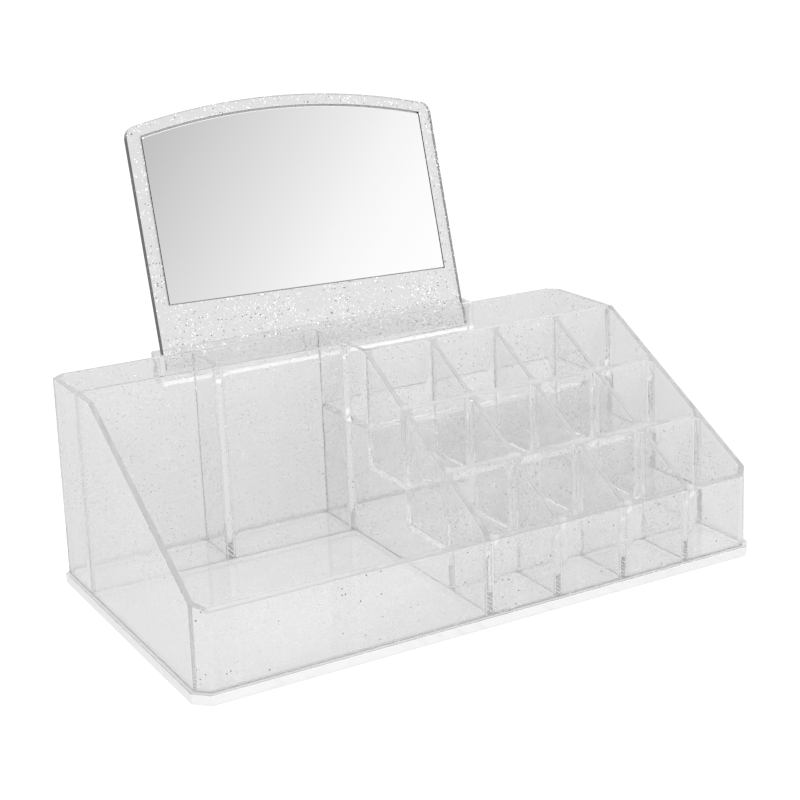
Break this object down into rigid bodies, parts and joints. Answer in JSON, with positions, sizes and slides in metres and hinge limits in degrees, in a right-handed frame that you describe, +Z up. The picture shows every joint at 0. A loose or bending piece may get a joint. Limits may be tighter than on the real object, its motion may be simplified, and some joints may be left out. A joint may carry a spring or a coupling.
{
  "type": "vanity organizer",
  "caption": "Clear glittered vanity organizer with an open tray, tall compartments, stepped lipstick cups and a mirror leaning back in a pocket behind it.",
  "frame": {"origin": "middle of the base plate's underside", "axes": "+X to the right, along the organizer's width; +Y to the back, where the mirror stands; +Z up"},
  "size_m": [0.222, 0.1581, 0.1638],
  "materials": {
    "clear_base": "clear, polished, with fine silver glitter",
    "clear_moulding": "clear, polished, with fine silver glitter",
    "mirror_frame": "clear, polished, with fine silver glitter",
    "adhesive_pad": "foam tape",
    "mirror_glass": "silvered glass"
  },
  "bodies": {
    "organizer": {"base_plate": "clear_base", "front_wall": "clear_moulding", "back_wall": "clear_moulding", "left_side_wall": "clear_moulding", "right_side_wall": "clear_moulding", "front_left_corner": "clear_moulding", "front_right_corner": "clear_moulding", "back_left_corner": "clear_moulding", "back_right_corner": "clear_moulding", "tray_side_wall": "clear_moulding", "tall_compartment_wall": "clear_moulding", "tall_compartment_divider": "clear_moulding", "raised_compartment_floor": "clear_moulding", "upper_step_floor": "clear_moulding", "middle_step_floor": "clear_moulding", "lower_riser_wall": "clear_moulding", "upper_riser_wall": "clear_moulding", "cup_back_wall": "clear_moulding", "lower_divider_1": "clear_moulding", "lower_divider_2": "clear_moulding", "lower_divider_3": "clear_moulding", "middle_divider_1": "clear_moulding", "middle_divider_2": "clear_moulding", "middle_divider_3": "clear_moulding", "upper_divider_1": "clear_moulding", "upper_divider_2": "clear_moulding", "upper_divider_3": "clear_moulding", "pocket_floor": "clear_moulding", "pocket_rear_wall": "clear_moulding", "pocket_left_end": "clear_moulding", "pocket_right_end": "clear_moulding", "left_mirror_rest": "clear_moulding", "middle_mirror_rest": "clear_moulding", "right_mirror_rest": "clear_moulding"},
    "mirror": {"mirror_frame": "mirror_frame", "mirror_adhesive_pad": "adhesive_pad", "mirror_glass": "mirror_glass"}
  },
  "joints": [
    {"name": "mirror_lift", "type": "slide", "parent": "organizer", "child": "mirror", "axis": [0.0218, 0.3023, 0.953], "range_m": [0, 0.03]}
  ]
}
